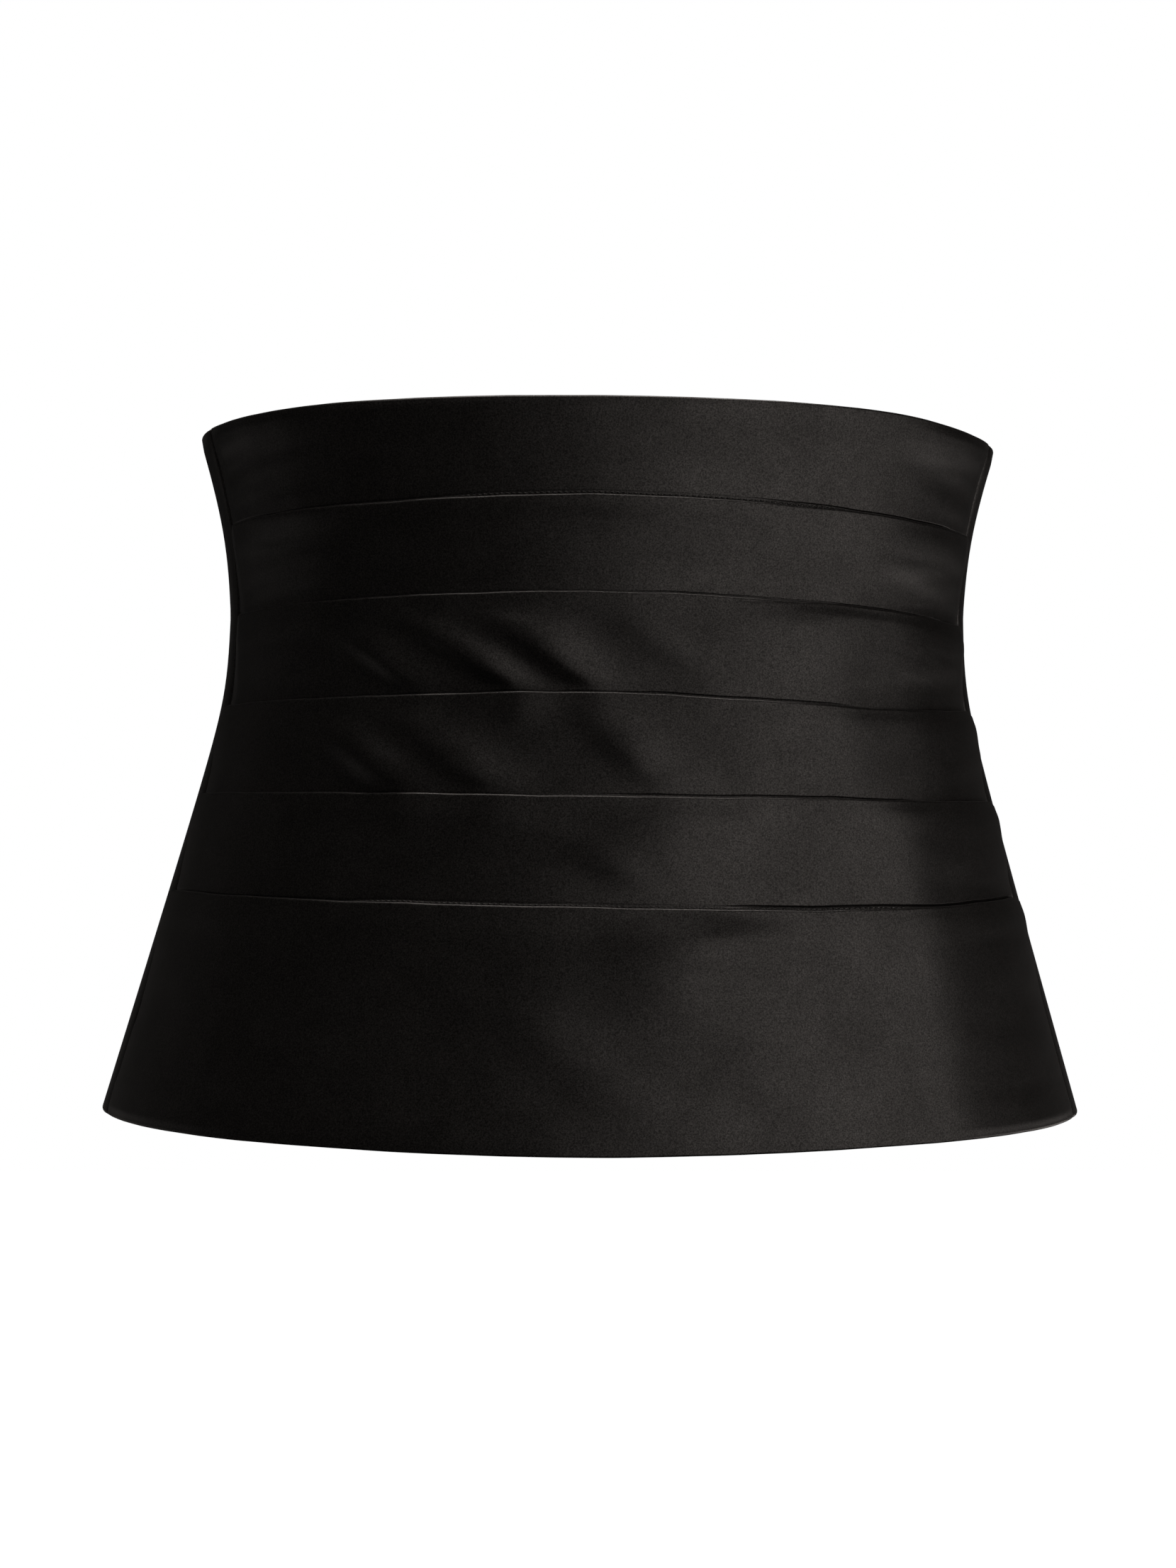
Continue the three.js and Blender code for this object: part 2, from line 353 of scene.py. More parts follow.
@dataclass(frozen=True)
class BeltForm:
    """The bare surface that the walls of cloth stand on, and the lines that run round it.

    Attributes:
        rise: Height of the top edge over the waist at centre front.
        drop: Depth of the hem below the waist at centre front.
        waist_half_width: Half the width at the waist.
        waist_front: Depth forwards from the axis at the waist.
        waist_back: Depth backwards from the axis at the waist.
        top: How the belt widens upwards.
        hem: How it widens downwards.
        corner_fullness: How much fuller than an ellipse the belt is between front and side, as a share.
        lean: Distance to the right for each millimetre up.
        left_seam: Degrees from centre front to the left side seam, at the top edge and at the hem.
        right_seam: Degrees from centre front to the right side seam, at the top edge and at the hem.
        stations: Degrees round from centre front at which the lines' drops are given.
        lines: The top edge, the five folded edges and the hem.
        swells: The soft corners and rises of the worn form.
        step: Half the step that slopes are taken over, in degrees or millimetres.
    """

    rise: float = 61.6
    drop: float = 165.5
    waist_half_width: float = 118.4
    waist_front: float = 87.0
    waist_back: float = 85.0
    top: Flare = Flare(half_width=130.3, front=92.0, back=92.0, straight=0.4, rounding=0.4)
    hem: Flare = Flare(half_width=159.2, front=105.0, back=113.0, straight=0.15, rounding=0.1)
    corner_fullness: float = 0.03
    lean: float = 0.0155
    left_seam: tuple[float, float] = (71.8, 76.0)
    right_seam: tuple[float, float] = (75.8, 76.4)
    stations: tuple[float, ...] = (-180.0, -70.0, -38.0, 0.0, 38.0, 70.0, 180.0)
    lines: tuple[Line, ...] = (
        Line(left=0.011, mid_left=0.001, centre=0.0, mid_right=0.009, right=0.029),
        Line(left=0.147, mid_left=0.136, centre=0.128, mid_right=0.145, right=0.161),
        Line(left=0.275, mid_left=0.263, centre=0.257, mid_right=0.272, right=0.29),
        Line(left=0.404, mid_left=0.397, centre=0.392, mid_right=0.412, right=0.413),
        Line(left=0.528, mid_left=0.526, centre=0.53, mid_right=0.537, right=0.54),
        Line(left=0.665, mid_left=0.669, centre=0.676, mid_right=0.683, right=0.676),
        Line(left=0.982, mid_left=0.99, centre=1.0, mid_right=0.993, right=0.988),
    )
    swells: tuple[Swell | Ridge, ...] = (
        Ridge(angle=29, lean=-0.05, spread=18, steep=1.25, rise=4.1, upper=-3, lower=-62, fade=11),
        Ridge(angle=43, lean=0.01, spread=15, steep=1.4, rise=1.9, upper=-66, lower=-190, fade=11),
        Swell(angle=13, z=-105, spread=13, tall=12, rise=3.0),
        Swell(angle=8, z=-62, spread=12, tall=26, rise=0.7),
        Swell(angle=-4, z=-116, spread=9, tall=24, rise=0.5),
        Swell(angle=22, z=-142, spread=12, tall=16, rise=0.8),
    )
    step: float = 0.05

    @property
    def height(self) -> float:
        """Whole height of the belt at centre front."""
        return self.rise + self.drop

    def surface(self, angle: np.ndarray, z: np.ndarray) -> np.ndarray:
        """Find points of the bare surface.

        Args:
            angle: Degrees round from centre front.
            z: Heights over the waist.

        Returns:
            Points, with x, y and z along the last axis.
        """
        angle, z = np.broadcast_arrays(np.asarray(angle, float), np.asarray(z, float))
        turn = np.radians(angle)
        up = self.top.opening(np.maximum(z, 0.0) / self.rise)
        down = self.hem.opening(np.maximum(-z, 0.0) / self.drop)

        def section(waist: float, top: float, hem: float) -> np.ndarray:
            """Blend one measure of the section between waist, top edge and hem."""
            return waist + (top - waist) * up + (hem - waist) * down

        half_width = section(self.waist_half_width, self.top.half_width, self.hem.half_width)
        front = section(self.waist_front, self.top.front, self.hem.front)
        back = section(self.waist_back, self.top.back, self.hem.back)
        depth = np.where(np.cos(turn) > 0, front, back)
        fullness = 1 + self.corner_fullness * np.sin(2 * turn) ** 2
        x = half_width * np.sin(turn) * fullness + self.lean * z
        y = -depth * np.cos(turn) * fullness
        return np.stack([x, y, z], axis=-1)

    def wall(self, angle: np.ndarray, z: np.ndarray, out: np.ndarray) -> np.ndarray:
        """Find points at a distance outwards from the surface.

        Args:
            angle: Degrees round from centre front.
            z: Heights over the waist.
            out: Distances from the bare surface.

        Returns:
            Points, with x, y and z along the last axis.
        """
        around = self.surface(angle + self.step, z) - self.surface(angle - self.step, z)
        upwards = self.surface(angle, z + self.step) - self.surface(angle, z - self.step)
        normal = np.cross(around, upwards)
        normal /= np.linalg.norm(normal, axis=-1, keepdims=True)
        swell = sum(each.at(np.asarray(angle, float), np.asarray(z, float)) for each in self.swells)
        return self.surface(angle, z) + normal * (np.asarray(out, float) + swell)[..., None]

    def per_degree(self, angle: np.ndarray, z: np.ndarray) -> np.ndarray:
        """Measure the length along the surface that one degree takes.

        Args:
            angle: Degrees round from centre front.
            z: Heights over the waist.

        Returns:
            Millimetres for each degree.
        """
        ends = self.surface(angle + self.step, z) - self.surface(angle - self.step, z)
        return np.linalg.norm(ends, axis=-1) / (2 * self.step)

    def length_round(self, angle: np.ndarray, z: np.ndarray) -> float:
        """Measure the length along the surface through a row of points."""
        return float((self.per_degree(angle, z)[:-1] * np.diff(angle)).sum())

    def line_height(self, index: int, angle: np.ndarray) -> np.ndarray:
        """Find the height of one of the belt's lines.

        Args:
            index: 0 for the top edge, 6 for the hem.
            angle: Degrees round from centre front.

        Returns:
            Heights over the waist.
        """
        places, drops = np.array(self.stations), np.array(self.lines[index].drops())
        slopes = np.diff(drops) / np.diff(places)
        tangents = np.concatenate([slopes[:1], (slopes[1:] + slopes[:-1]) / 2, slopes[-1:]])
        angle = np.clip(np.asarray(angle, float), places[0], places[-1])
        cell = np.clip(np.searchsorted(places, angle, side="right") - 1, 0, len(places) - 2)
        width = places[cell + 1] - places[cell]
        share = (angle - places[cell]) / width
        rest = 1 - share
        start = drops[cell] * rest * rest * (1 + 2 * share) + tangents[cell] * width * share * rest * rest
        end = drops[cell + 1] * share * share * (3 - 2 * share)
        end = end - tangents[cell + 1] * width * share * share * rest
        return self.rise - (start + end) * self.height

    def hem_height(self, angle: np.ndarray) -> np.ndarray:
        """Find the height of the hem at angles round the belt."""
        return self.line_height(len(self.lines) - 1, angle)

    def seam_angle(self, side: Side, z: np.ndarray | float) -> np.ndarray | float:
        """Find where a side seam runs at a height, in degrees round from centre front."""
        top, hem = self.left_seam if side is Side.LEFT else self.right_seam
        return side.value * (top + (hem - top) * (self.rise - z) / self.height)


@dataclass(frozen=True)
class Wobble:
    """The small unevenness of sewn cloth: a few slow waves that never repeat in step.

    Attributes:
        amount: Greatest distance.
        length: Length of the main wave.
        seed: Shifts the waves, so that no two edges match.
        shares: Height of each wave.
        rates: How many times each wave repeats within the main one.
        shifts: How strongly the seed shifts each wave.
    """

    amount: float
    length: float
    seed: float
    shares: tuple[float, ...] = (1.0, 0.6, 0.35)
    rates: tuple[float, ...] = (1.0, 1.73, 3.31)
    shifts: tuple[float, ...] = (0.0, 2.1, 1.0)

    def at(self, distance: np.ndarray) -> np.ndarray:
        """Evaluate the waves.

        Args:
            distance: Distances along an edge.

        Returns:
            Distances to either side of it.
        """
        phase = 2 * math.pi * np.asarray(distance, float) / self.length + self.seed
        waves = np.zeros_like(phase)
        for share, rate, shift in zip(self.shares, self.rates, self.shifts):
            waves += share * np.sin(rate * phase + shift * self.seed)
        return self.amount * waves / sum(self.shares)


@dataclass(frozen=True)
class Rumple:
    """The slow unevenness of stretched cloth: many faint waves across each other.

    Attributes:
        depth: Usual distance in or out.
        along: Usual length of a wave round the belt.
        down: Usual length of a wave down the cloth.
        seed: Starts the waves, so that no two pieces match.
        waves: Number of waves.
        sizes: Least and greatest size of a wave.
        slants: Least and greatest slant.
        stretches: Least and greatest stretch down the cloth.
    """

    depth: float
    along: float
    down: float
    seed: int
    waves: int = 16
    sizes: tuple[float, float] = (0.4, 1.8)
    slants: tuple[float, float] = (0.3, 1.0)
    stretches: tuple[float, float] = (0.7, 1.6)

    def at(self, across: np.ndarray, down: np.ndarray) -> np.ndarray:
        """Evaluate the waves.

        Args:
            across: Distances round the belt.
            down: Distances down the cloth.

        Returns:
            Distances outwards.
        """
        chance = np.random.default_rng(self.seed)
        lift = np.zeros(np.broadcast(across, down).shape)
        for _ in range(self.waves):
            size = chance.uniform(*self.sizes)
            slant = chance.choice([-1.0, 1.0]) * chance.uniform(*self.slants)
            start = chance.uniform(0.0, 2 * math.pi)
            tall = self.down * size * chance.uniform(*self.stretches)
            turns = slant * across / (self.along * size) + down / tall
            lift += size * np.sin(2 * math.pi * turns + start)
        return self.depth * lift / math.sqrt(self.waves)


@dataclass(frozen=True)
class MeshPiece:
    """Points and faces on their way to a Blender object.

    Attributes:
        name: Name of the piece.
        points: Its points in millimetres, with x, y and z along the last axis.
        faces: Its faces, by the numbers of their points.
    """

    name: str
    points: np.ndarray
    faces: list[tuple[int, ...]]

    def build(self, material: bpy.types.Material, slot: str) -> bpy.types.Object:
        """Make the object, give it its material and let it ride on the belt.

        Args:
            material: The piece's finish.
            slot: Name of the material slot that it stands for; not used.

        Returns:
            The new object.
        """
        mesh = bpy.data.meshes.new(self.name)
        mesh.from_pydata((self.points.reshape(-1, 3) * MM).tolist(), [], self.faces)
        mesh.validate()
        mesh.shade_smooth()
        mesh.materials.append(material)
        made = bpy.data.objects.new(self.name, mesh)
        bpy.context.scene.collection.objects.link(made)
        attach(made, "root")
        LOG.info("%s: %d faces", self.name, len(mesh.polygons))
        return made


def closed_ring_faces(columns: int, ring: int) -> list[tuple[int, ...]]:
    """List the faces of a wall whose cross-section is a closed ring, with a cap at each end.

    Args:
        columns: Number of cross-sections.
        ring: Points in each, an even number: the first half runs down the outside, the second up the inside.

    Returns:
        Faces, for points in order of column and then ring.
    """
    faces: list[tuple[int, ...]] = []
    for column in range(columns - 1):
        here, there = column * ring, (column + 1) * ring
        for point in range(ring):
            after = (point + 1) % ring
            faces.append((here + point, here + after, there + after, there + point))
    last = (columns - 1) * ring
    for point in range(ring // 2 - 1):
        other = ring - 1 - point
        faces.append((point, other, other - 1, point + 1))
        faces.append((last + point, last + point + 1, last + other - 1, last + other))
    return faces


class Yarn(Enum):
    """The two cloths of the belt, by the coarseness of their weave in metres."""

    SATIN = 0.00045
    TAPE = 0.0009


@dataclass(frozen=True)
class ClothFinish:
    """A woven cloth: a dark dye, a sheen and the uneven relief of its yarns.

    Attributes:
        name: Name of the material.
        dye: Base colour, linear.
        roughness: How broad its highlight is.
        specular: Strength of its highlight.
        yarn: Which weave it has.
        relief: Strength of the weave's bump.
        mottle: How far the dye varies over the cloth, as a share.
        fleck: How far it varies from yarn to yarn, as a share.
        glint: Colour of its highlight.
        sheen: Strength of its sheen at a glancing look.
        sheen_roughness: How broad that sheen is.
        mottle_size: Size of the patches of dye, in metres.
        noise_range: Values of a noise between which its shades lie.
        polish: How far the roughness varies from yarn to yarn, as a share.
        yarn_height: Height of the yarns, as a share of their size.
    """

    name: str
    dye: tuple[float, float, float]
    roughness: float
    specular: float
    yarn: Yarn
    relief: float
    mottle: float
    fleck: float
    glint: tuple[float, float, float] = (0.8, 0.79, 0.78)
    sheen: float = 0.04
    sheen_roughness: float = 0.4
    mottle_size: float = 0.018
    noise_range: tuple[float, float] = (0.36, 0.76)
    polish: float = 0.06
    yarn_height: float = 0.25

    def material(self) -> bpy.types.Material:
        """Build the node material.

        Returns:
            The material, with its own noise, dye, highlight and bump nodes.
        """
        made = bpy.data.materials.new(self.name)
        made.use_nodes = True
        made.diffuse_color = (*self.dye, 1.0)
        nodes, links = made.node_tree.nodes, made.node_tree.links
        shader = nodes["Principled BSDF"]
        shader.inputs["Specular IOR Level"].default_value = self.specular
        shader.inputs["Sheen Weight"].default_value = self.sheen
        shader.inputs["Sheen Roughness"].default_value = self.sheen_roughness
        place = nodes.new("ShaderNodeTexCoord")

        def noise(size: float, detail: float, distortion: float = 0.5) -> bpy.types.NodeSocket:
            """Add a noise over the cloth.

            Args:
                size: Size of its flecks, in metres.
                detail: How finely they break up.
                distortion: How far they are drawn out.

            Returns:
                The socket of its value.
            """
            texture = nodes.new("ShaderNodeTexNoise")
            texture.inputs["Scale"].default_value = 1.0 / size
            texture.inputs["Detail"].default_value = detail
            texture.inputs["Distortion"].default_value = distortion
            links.new(place.outputs["Object"], texture.inputs["Vector"])
            return texture.outputs["Fac"]

        def shaded(value: bpy.types.NodeSocket, spread: float, middle: float = 1.0) -> bpy.types.NodeSocket:
            """Spread a noise round a middle value.

            Args:
                value: The socket of the noise.
                spread: How far it goes to either side, as a share of the middle.
                middle: Its middle value.

            Returns:
                The socket of the result.
            """
            shades = nodes.new("ShaderNodeMapRange")
            shades.inputs["From Min"].default_value = self.noise_range[0]
            shades.inputs["From Max"].default_value = self.noise_range[1]
            shades.inputs["To Min"].default_value = middle * (1.0 - spread)
            shades.inputs["To Max"].default_value = middle * (1.0 + spread)
            links.new(value, shades.inputs["Value"])
            return shades.outputs["Result"]

        yarn_size = self.yarn.value
        both = nodes.new("ShaderNodeMath")
        both.operation = "MULTIPLY"
        links.new(shaded(noise(self.mottle_size, 4.0), self.mottle), both.inputs[0])
        links.new(shaded(noise(yarn_size, 3.0), self.fleck), both.inputs[1])
        for colour, socket in ((self.dye, "Base Color"), (self.glint, "Specular Tint")):
            dyed = nodes.new("ShaderNodeVectorMath")
            dyed.operation = "SCALE"
            dyed.inputs[0].default_value = colour
            links.new(both.outputs["Value"], dyed.inputs["Scale"])
            links.new(dyed.outputs["Vector"], shader.inputs[socket])
        uneven = shaded(noise(yarn_size, 1.5), self.polish, self.roughness)
        links.new(uneven, shader.inputs["Roughness"])

        bump = nodes.new("ShaderNodeBump")
        bump.inputs["Strength"].default_value = self.relief
        bump.inputs["Distance"].default_value = yarn_size * self.yarn_height
        links.new(noise(yarn_size, 1.5, distortion=0.6), bump.inputs["Height"])
        links.new(bump.outputs["Normal"], shader.inputs["Normal"])
        return made


@dataclass(frozen=True)
class Finishes:
    """The materials of the belt.

    Attributes:
        satin: The black satin of the pleats and panels.
        tape: The matt black tape.
    """

    satin: bpy.types.Material
    tape: bpy.types.Material

    @staticmethod
    def prepare() -> "Finishes":
        """Build all the materials.

        Returns:
            The finished set.
        """
        satin = ClothFinish(
            name="black_satin",
            dye=(0.005, 0.0045, 0.0041),
            roughness=0.355,
            specular=0.75,
            yarn=Yarn.SATIN,
            relief=0.12,
            mottle=0.14,
            fleck=0.52,
        )
        tape = ClothFinish(
            name="black_tape",
            dye=(0.006, 0.006, 0.006),
            roughness=0.85,
            specular=0.25,
            yarn=Yarn.TAPE,
            relief=0.6,
            mottle=0.2,
            fleck=0.3,
        )
        return Finishes(satin.material(), tape.material())


@dataclass(frozen=True)
class Cloth:
    """Thicknesses and allowances of the sewn cloth.

    Attributes:
        plain: Thickness of a pleat.
        fold: Its thickness at a fold, where the cloth turns.
        back: Thickness of a back panel.
        turning: How far a pleat reaches down behind the next fold.
        sewn_gap: Gap between two layers that are sewn together.
        corner_reach: Distance from a side seam over which the folded edges bend down.
        corner_drop: How far they bend down.
        tuck: Length over which a back panel thins at its side seam.
        turn_reach: Depth over which the top edge turns inwards.
        turn_amount: How far it turns.
        turn_roundness: 1 for a turn that ends level, less for one that ends short of it.
    """

    plain: float = 1.2
    fold: float = 1.7
    back: float = 1.9
    turning: float = 9.0
    sewn_gap: float = 0.32
    corner_reach: float = 9.0
    corner_drop: float = 2.6
    tuck: float = 6.0
    turn_reach: float = 3.4
    turn_amount: float = 1.3
    turn_roundness: float = 0.98

    @property
    def stand(self) -> float:
        """How far a pleat's folded edge stands off the surface."""
        return self.plain + self.sewn_gap

    @property
    def seam_gap(self) -> float:
        """How far a back panel starts behind the line of its side seam."""
        return self.sewn_gap / 3

    def turned(self, depth: np.ndarray) -> np.ndarray:
        """Find how far the cloth turns inwards at its top.

        Args:
            depth: Depths below the top edge.

        Returns:
            Distances inwards.
        """
        near = np.clip(1 - depth / self.turn_reach, 0, 1)
        return self.turn_amount * (1 - np.sqrt(1 - self.turn_roundness * near**2))


@dataclass
class PleatedFront:
    """The top band, the four pleats under it and the wide lower band.

    Attributes:
        form: The surface that the pleats lie on.
        cloth: Thicknesses and allowances.
        names: The solids' names, from the top band down.
        folds: The drag folds.
        edges: What shows along each folded edge between two pleats.
        rumples: The unevenness of each pleat.
        bulge: How much fuller each folded edge is over the full stretch.
        bulge_start: Depth below the fold from which that fades.
        full: The stretch of the front with full folded edges.
        puff: How far each pleat stands out below its fold over the puffed stretch.
        puff_depths: Depth at which each pleat stands out that far.
        puffed: The stretch of the front with puffed pleats.
        soft_roll: How far each pleat stands out below its fold on the right.
        roll_begins: Angles between which that begins.
        roll_depth: Depth at which it stands out that far.
        eased: Shares of a pleat's height between which puff and roll die away again.
        hem_roll: Depth of the hem's rounded end.
        hem_curl: How far the hem curls inwards.
        pressed: How flat each pleat is at the left and at the right side seam, as a share.
        pressed_width: Distance from the seam over which it is pressed.
        sewn_in: How far the outer face sinks at the very seam.
        sewn_reach: Distance from the seam over which it sinks.
        carry: Share of a drag fold's lift that reaches the next folded edge.
        calm: Share of a pleat's height above the next fold over which its lift dies away.
        fading: Depth behind the next fold at which a drag fold ends.
        lifting: Depths below a folded edge between which the cloth's lift begins.
        sinking: Depth, in turnings, from which a pleat may also sink.
        carried_down: Depths, in turnings, between which a carried lift dies away.
        kept_stand: Share of the stand that the lower band keeps at the hem.
        band_slope: Shares of the lower band's height between which its stand goes down.
        fold_thick: Depths, in turnings, between which a fold thins to the plain cloth.
        fold_thickness: Share of the fold's extra thickness at a folded edge.
        hem_thick: Heights over the hem, in turnings, between which the cloth thickens.
        hem_thickness: Share of the fold's extra thickness at the hem.
        corner_fade: Depth, in corner drops, over which the bend at a side seam fades.
        waver: How far the folded edges waver.
        edge_waver: How far the top edge and the hem waver.
        waver_length: Length of the main wave.
        waver_seeds: Seed of the top edge, and the step from one line to the next.
        fold_rows: Depth of the first close rows.
        hem_rows: Height over the hem where close rows begin again.
        lip_rows: The same over the next fold, and how far they reach behind it.
        tail: Length of the rounded lower end behind the next fold.
        row_counts: Numbers of rows in each part of a pleat.
        band_row_counts: The same for the lower band.
        arcs: Angles of the points round a folded edge.
        columns: Number of columns round the front.
        packing: How closely they crowd at the side seams.
        seam_level: Degrees at which the seams' heights are read.
        tucked: How far the stitched edge starts below the line of its fold.
        thread: Half its thickness where it ends.
        pinch: Its thickness at a stitch, as a share.
        sunk: How deep it lies, and how much deeper at a stitch.
        beat_shape: Below 1 for puffs that are broader than the stitches.
        spare: Greatest length of that edge, as a share of the front's length at the waist.
        stitch_columns: Number of columns for each stitch.
        thread_turn: Degrees from one point round that edge to the next.
    """

    form: BeltForm
    cloth: Cloth
    names: tuple[str, ...] = ("top_band", "pleat_2", "pleat_3", "pleat_4", "pleat_5", "lower_band")
    folds: tuple[DragFold, ...] = (
        DragFold(
            pleat=3, angle=-30, at=0.72, slant=41,
            length=0.12, width=0.026, rise=0.0095, bend=0.05, steep=1.3,
        ),
        DragFold(
            pleat=3, angle=-17.5, at=0.67, slant=41,
            length=0.15, width=0.026, rise=0.0145, bend=0.1, steep=1.35,
        ),
        DragFold(
            pleat=3, angle=-7.5, at=0.58, slant=43,
            length=0.17, width=0.032, rise=0.012, bend=0.06, steep=1.25,
        ),
        DragFold(pleat=3, angle=8, at=0.45, slant=40, length=0.14, width=0.03, rise=0.003),
        DragFold(
            pleat=4, angle=-28.5, at=0.82, slant=42,
            length=0.17, width=0.036, rise=0.0135, bend=0.05, steep=1.2,
        ),
        DragFold(
            pleat=4, angle=-19.5, at=0.66, slant=45,
            length=0.15, width=0.036, rise=0.012, bend=0.05, steep=1.3,
        ),
        DragFold(
            pleat=4, angle=4.5, at=0.56, slant=54,
            length=0.14, width=0.034, rise=0.0052, bend=0.05, steep=1.2,
        ),
        DragFold(pleat=5, angle=2.5, at=0.62, slant=38, length=0.1, width=0.032, rise=0.004),
        DragFold(pleat=6, angle=13, at=0.4, slant=38, length=0.3, width=0.052, rise=0.0048, bend=0.05),
        DragFold(pleat=6, angle=-2, at=0.62, slant=48, length=0.22, width=0.04, rise=0.004),
    )
    edges: tuple[FoldEdge, ...] = (
        FoldEdge(gap=(26, 66), sink=0.4, spread=0.26, stitched=(-24, 40), peep=0.6),
        FoldEdge(gap=(8, 70), sink=0.2, spread=0.26),
        FoldEdge(gap=(6, 40), sink=0.36, spread=0.24, stitched=(2, 46), peep=0.34),
        FoldEdge(gap=(2, 50), sink=0.3, spread=0.24, stitched=(-12, 40), peep=0.4),
        FoldEdge(gap=(20, 74), sink=0.85, spread=0.42, stitched=(-34, 46), peep=0.62),
    )
    rumples: tuple[Rumple, ...] = (
        Rumple(depth=0.07, along=70.0, down=13.0, seed=11),
        Rumple(depth=0.07, along=60.0, down=12.0, seed=22),
        Rumple(depth=0.07, along=42.0, down=12.0, seed=33),
        Rumple(depth=0.07, along=42.0, down=12.0, seed=44),
        Rumple(depth=0.08, along=55.0, down=13.0, seed=55),
        Rumple(depth=0.13, along=48.0, down=24.0, seed=66),
    )
    bulge: tuple[float, ...] = (0.0, 0.95, 0.3, 0.2, 0.0, 0.0)
    bulge_start: float = 1.2
    full: Stretch = Stretch(begins=(-66.0, -44.0), ends=(20.0, 34.0))
    puff: tuple[float, ...] = (0.0, 0.3, 0.3, 0.5, 1.3, 1.2)
    puff_depths: tuple[float, ...] = (9.0, 9.0, 9.0, 9.0, 9.0, 13.0)
    puffed: Stretch = Stretch(begins=(-3.0, 11.0), ends=(20.0, 34.0))
    soft_roll: tuple[float, ...] = (0.0, 0.3, 0.8, 0.4, 0.35, 0.3)
    roll_begins: tuple[float, float] = (24.0, 42.0)
    roll_depth: float = 5.0
    eased: tuple[float, float] = (0.3, 1.0)
    hem_roll: float = 3.4
    hem_curl: float = 0.42
    pressed: tuple[tuple[float, float], ...] = ((0.6, 0.7), (0.5, 0.7), (0.5, 0.75), (1, 1), (1, 1), (1, 1))
    pressed_width: float = 9.0
    sewn_in: float = 0.4
    sewn_reach: float = 1.6
    carry: float = 0.6
    calm: float = 0.2
    fading: float = 3.5
    lifting: tuple[float, float] = (0.6, 11.0)
    sinking: float = 1.5
    carried_down: tuple[float, float] = (0.5, 1.6)
    kept_stand: float = 0.05
    band_slope: tuple[float, float] = (0.05, 0.56)
    fold_thick: tuple[float, float] = (0.6, 1.4)
    fold_thickness: float = 0.75
    hem_thick: tuple[float, float] = (1.6, 1.0)
    hem_thickness: float = 0.45
    corner_fade: float = 4.0
    waver: float = 0.14
    edge_waver: float = 0.05
    waver_length: float = 31.0
    waver_seeds: tuple[float, float] = (0.4, 1.7)
    fold_rows: float = 4.0
    hem_rows: float = 6.0
    lip_rows: tuple[float, float] = (2.6, 0.6)
    tail: float = 0.4
    row_counts: tuple[int, ...] = (10, 26, 20, 4)
    band_row_counts: tuple[int, ...] = (10, 48, 14)
    arcs: tuple[float, ...] = (75.0, 60.0, 45.0, 30.0, 15.0)
    columns: int = 360
    packing: float = 0.75
    seam_level: float = 70.0
    tucked: float = 0.05
    thread: float = 0.02
    pinch: float = 0.35
    sunk: tuple[float, float] = (0.3, 0.4)
    beat_shape: float = 0.6
    spare: float = 1.2
    stitch_columns: int = 7
    thread_turn: int = 30

    def distance_round(self, angle: np.ndarray | float) -> np.ndarray:
        """Turn degrees round from centre front into a length along the front."""
        return np.radians(angle) * self.form.waist_front

    def folds_lift(
        self, number: int, angle: np.ndarray, depth: np.ndarray, showing: np.ndarray
    ) -> np.ndarray:
        """Find how far the drag folds alone lift a pleat's cloth.

        Args:
            number: Number of the pleat.
            angle: Degrees round from centre front.
            depth: Places down the pleat.
            showing: Its showing height.

        Returns:
            Distances outwards.
        """
        around = self.distance_round(angle)
        lift = np.zeros(np.broadcast(angle, depth).shape)
        for fold in self.folds:
            if fold.pleat == number:
                across = around - self.distance_round(fold.angle)
                lift += fold.lift(across, depth - fold.at * showing, self.form.height)
        return lift

    def carried(self, line: int, angle: np.ndarray) -> np.ndarray:
        """Find how far the drag folds above a line carry the folded edge on it outwards.

        Args:
            line: Number of the line, which is that of the pleat above it.
            angle: Degrees round from centre front.

        Returns:
            Distances outwards.
        """
        if not 0 < line < len(self.names):
            return np.zeros_like(angle)
        upper, lower = self.heights(line, angle)
        return self.carry * self.folds_lift(line, angle, upper - lower, upper - lower)

    def drag(self, number: int, angle: np.ndarray, depth: np.ndarray, showing: np.ndarray) -> np.ndarray:
        """Find how far folds and unevenness lift or sink a pleat's cloth.

        Args:
            number: Number of the pleat.
            angle: Degrees round from centre front.
            depth: Places down the pleat.
            showing: Its showing height.

        Returns:
            Distances outwards.
        """
        turning = self.cloth.turning
        kept = self.carry if number < len(self.names) else 0.0
        above_next = smoothstep(1 - depth / showing, 0.0, self.calm)
        hidden = 1 - smoothstep(depth - showing, 0.0, self.fading)
        lift = self.rumples[number - 1].at(self.distance_round(angle), depth) * above_next
        lift += self.folds_lift(number, angle, depth, showing) * mix(kept, 1.0, above_next) * hidden
        outwards = smoothstep(depth, *self.lifting)
        inwards = smoothstep(depth, turning, self.sinking * turning) if number > 1 else outwards
        lift = lift * np.where(lift < 0, inwards, outwards)
        start, end = (share * turning for share in self.carried_down)
        return lift + self.carried(number - 1, angle) * (1 - smoothstep(depth, start, end))

    def stand(self, number: int, share: np.ndarray, showing: np.ndarray) -> np.ndarray:
        """Find how far a pleat stands off the surface, as a share of the full stand.

        Args:
            number: Number of the pleat.
            share: Places down the pleat, as shares of its showing height.
            showing: Its showing height.

        Returns:
            1 at the folded edge and 0 where it meets the surface.
        """
        if number == 1:
            return np.zeros_like(share)
        if number == len(self.names):
            return self.kept_stand + (1 - self.kept_stand) * (1 - smoothstep(share, *self.band_slope))
        return 1 - smoothstep(share, float(self.cloth.turning / showing.mean()), 1.0)

